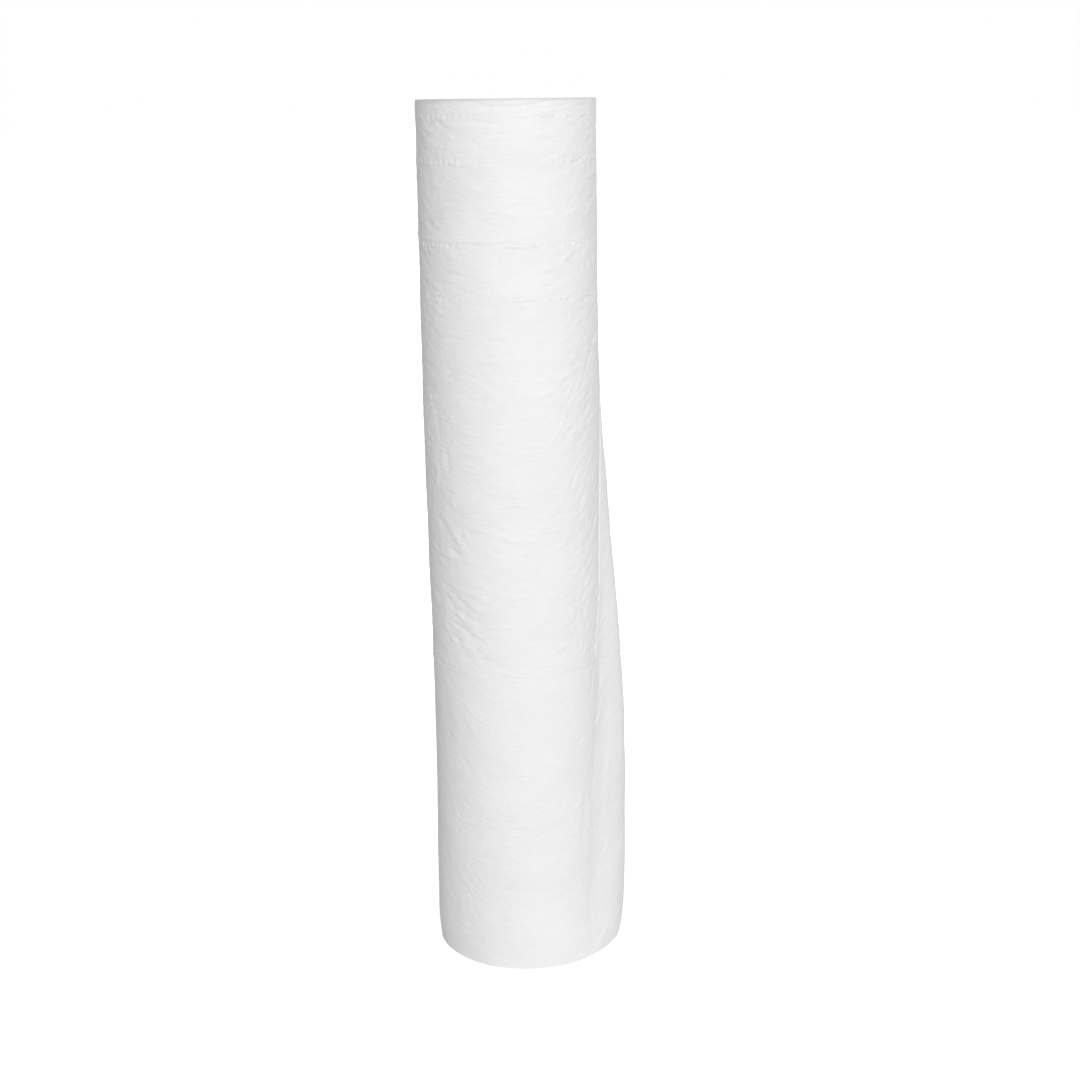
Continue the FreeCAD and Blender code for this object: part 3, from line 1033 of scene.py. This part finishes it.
CAMERA_PLACE = (0.0179, -1.1962, 0.6000)
CAMERA_LENS = 58.53
CAMERA_PITCH = 75.846
CAMERA_ROLL = -1.10
WORLD_STRENGTH = 0.395


def make_camera():
    """The photograph's viewing angle: level with the roll's top and looking a little down."""
    data = bpy.data.cameras.new("camera")
    data.lens = CAMERA_LENS
    camera = bpy.data.objects.new("camera", data)
    pitch = Matrix.Rotation(math.radians(CAMERA_PITCH), 4, "X")
    roll = Matrix.Rotation(math.radians(CAMERA_ROLL), 4, "Z")
    camera.matrix_world = Matrix.Translation(CAMERA_PLACE) @ pitch @ roll
    bpy.context.scene.collection.objects.link(camera)
    bpy.context.scene.camera = camera


def make_lamp(name, place, aim, size, power):
    data = bpy.data.lights.new(name, "AREA")
    data.shape = "DISK"
    data.size = size
    data.energy = power
    lamp = bpy.data.objects.new(name, data)
    lamp.location = place
    lamp.rotation_euler = (Vector(aim) - Vector(place)).to_track_quat("-Z", "Y").to_euler()
    bpy.context.scene.collection.objects.link(lamp)


def make_lamps():
    make_lamp("key_lamp", place=(1.78, -7.64, 3.9), aim=(0, 0, 0.28), size=2.3, power=383)
    make_lamp("back_lamp", place=(1.5, 3.5, 2.0), aim=(0, 0, 0.3), size=1.8, power=26)


def make_world():
    """Soft even light, which the camera sees as plain white."""
    world = bpy.data.worlds.new("studio")
    world.use_nodes = True
    bpy.context.scene.world = world
    nodes, links = world.node_tree.nodes, world.node_tree.links
    background = nodes["Background"]
    background.inputs["Color"].default_value = (1, 1, 1, 1)
    background.inputs["Strength"].default_value = WORLD_STRENGTH
    white = nodes.new("ShaderNodeBackground")
    white.inputs["Color"].default_value = (1, 1, 1, 1)
    white.inputs["Strength"].default_value = 1.0
    rays = nodes.new("ShaderNodeLightPath")
    mix = nodes.new("ShaderNodeMixShader")
    links.new(rays.outputs["Is Camera Ray"], mix.inputs[0])
    links.new(background.outputs[0], mix.inputs[1])
    links.new(white.outputs[0], mix.inputs[2])
    links.new(mix.outputs[0], nodes["World Output"].inputs["Surface"])


def make_floor():
    """A plain white floor that keeps the roll's shadow. To the camera it grows whiter away from it."""
    size = 40.0
    mesh = bpy.data.meshes.new("studio_floor")
    corners = [(-size, -size, 0), (size, -size, 0), (size, size, 0), (-size, size, 0)]
    mesh.from_pydata(corners, [], [(0, 1, 2, 3)])
    material = bpy.data.materials.new("studio_floor")
    material.use_nodes = True
    nodes, links = material.node_tree.nodes, material.node_tree.links
    matt = nodes["Principled BSDF"]
    matt.inputs["Base Color"].default_value = (0.88, 0.88, 0.88, 1)
    matt.inputs["Roughness"].default_value = 0.9
    glow = nodes.new("ShaderNodeEmission")
    rays = nodes.new("ShaderNodeLightPath")
    place = nodes.new("ShaderNodeTexCoord").outputs["Object"]
    away = nodes.new("ShaderNodeVectorMath")
    away.operation = "LENGTH"
    links.new(place, away.inputs[0])
    brighter = nodes.new("ShaderNodeMapRange")
    brighter.inputs["From Min"].default_value = 0.15
    brighter.inputs["From Max"].default_value = 1.2
    brighter.inputs["To Min"].default_value = 0.62
    brighter.inputs["To Max"].default_value = 1.1
    links.new(away.outputs["Value"], brighter.inputs["Value"])
    level = nodes.new("ShaderNodeMath")
    level.operation = "MULTIPLY"
    both = nodes.new("ShaderNodeAddShader")
    links.new(rays.outputs["Is Camera Ray"], level.inputs[0])
    links.new(brighter.outputs[0], level.inputs[1])
    links.new(level.outputs[0], glow.inputs["Strength"])
    links.new(matt.outputs[0], both.inputs[0])
    links.new(glow.outputs[0], both.inputs[1])
    links.new(both.outputs[0], nodes["Material Output"].inputs["Surface"])
    mesh.materials.append(material)
    floor = bpy.data.objects.new("studio_floor", mesh)
    bpy.context.scene.collection.objects.link(floor)


def make_towel_pieces():
    face_paper, edge_paper = crepe_paper(), turn_edge_paper()
    towel = make_wound_towel(make_skin(), face_paper)
    ticks = make_bond_ticks(towel, face_paper)
    head = make_turn_edges("head_turn_edges", edge_paper, ROLL_HEIGHT - END_SUNK, 3)
    foot = make_turn_edges("foot_turn_edges", edge_paper, FOOT_TURNS_LEVEL, 5)
    for piece in (towel, ticks, head, foot):
        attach(piece, "root")
    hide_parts("paper_roll")


def make_core_piece():
    core = make_core(core_board())
    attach(core, "root")
    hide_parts("core_tube")


bpy.context.scene.view_settings.view_transform = "Standard"
make_towel_pieces()
make_core_piece()
make_floor()
make_world()
make_lamps()
make_camera()
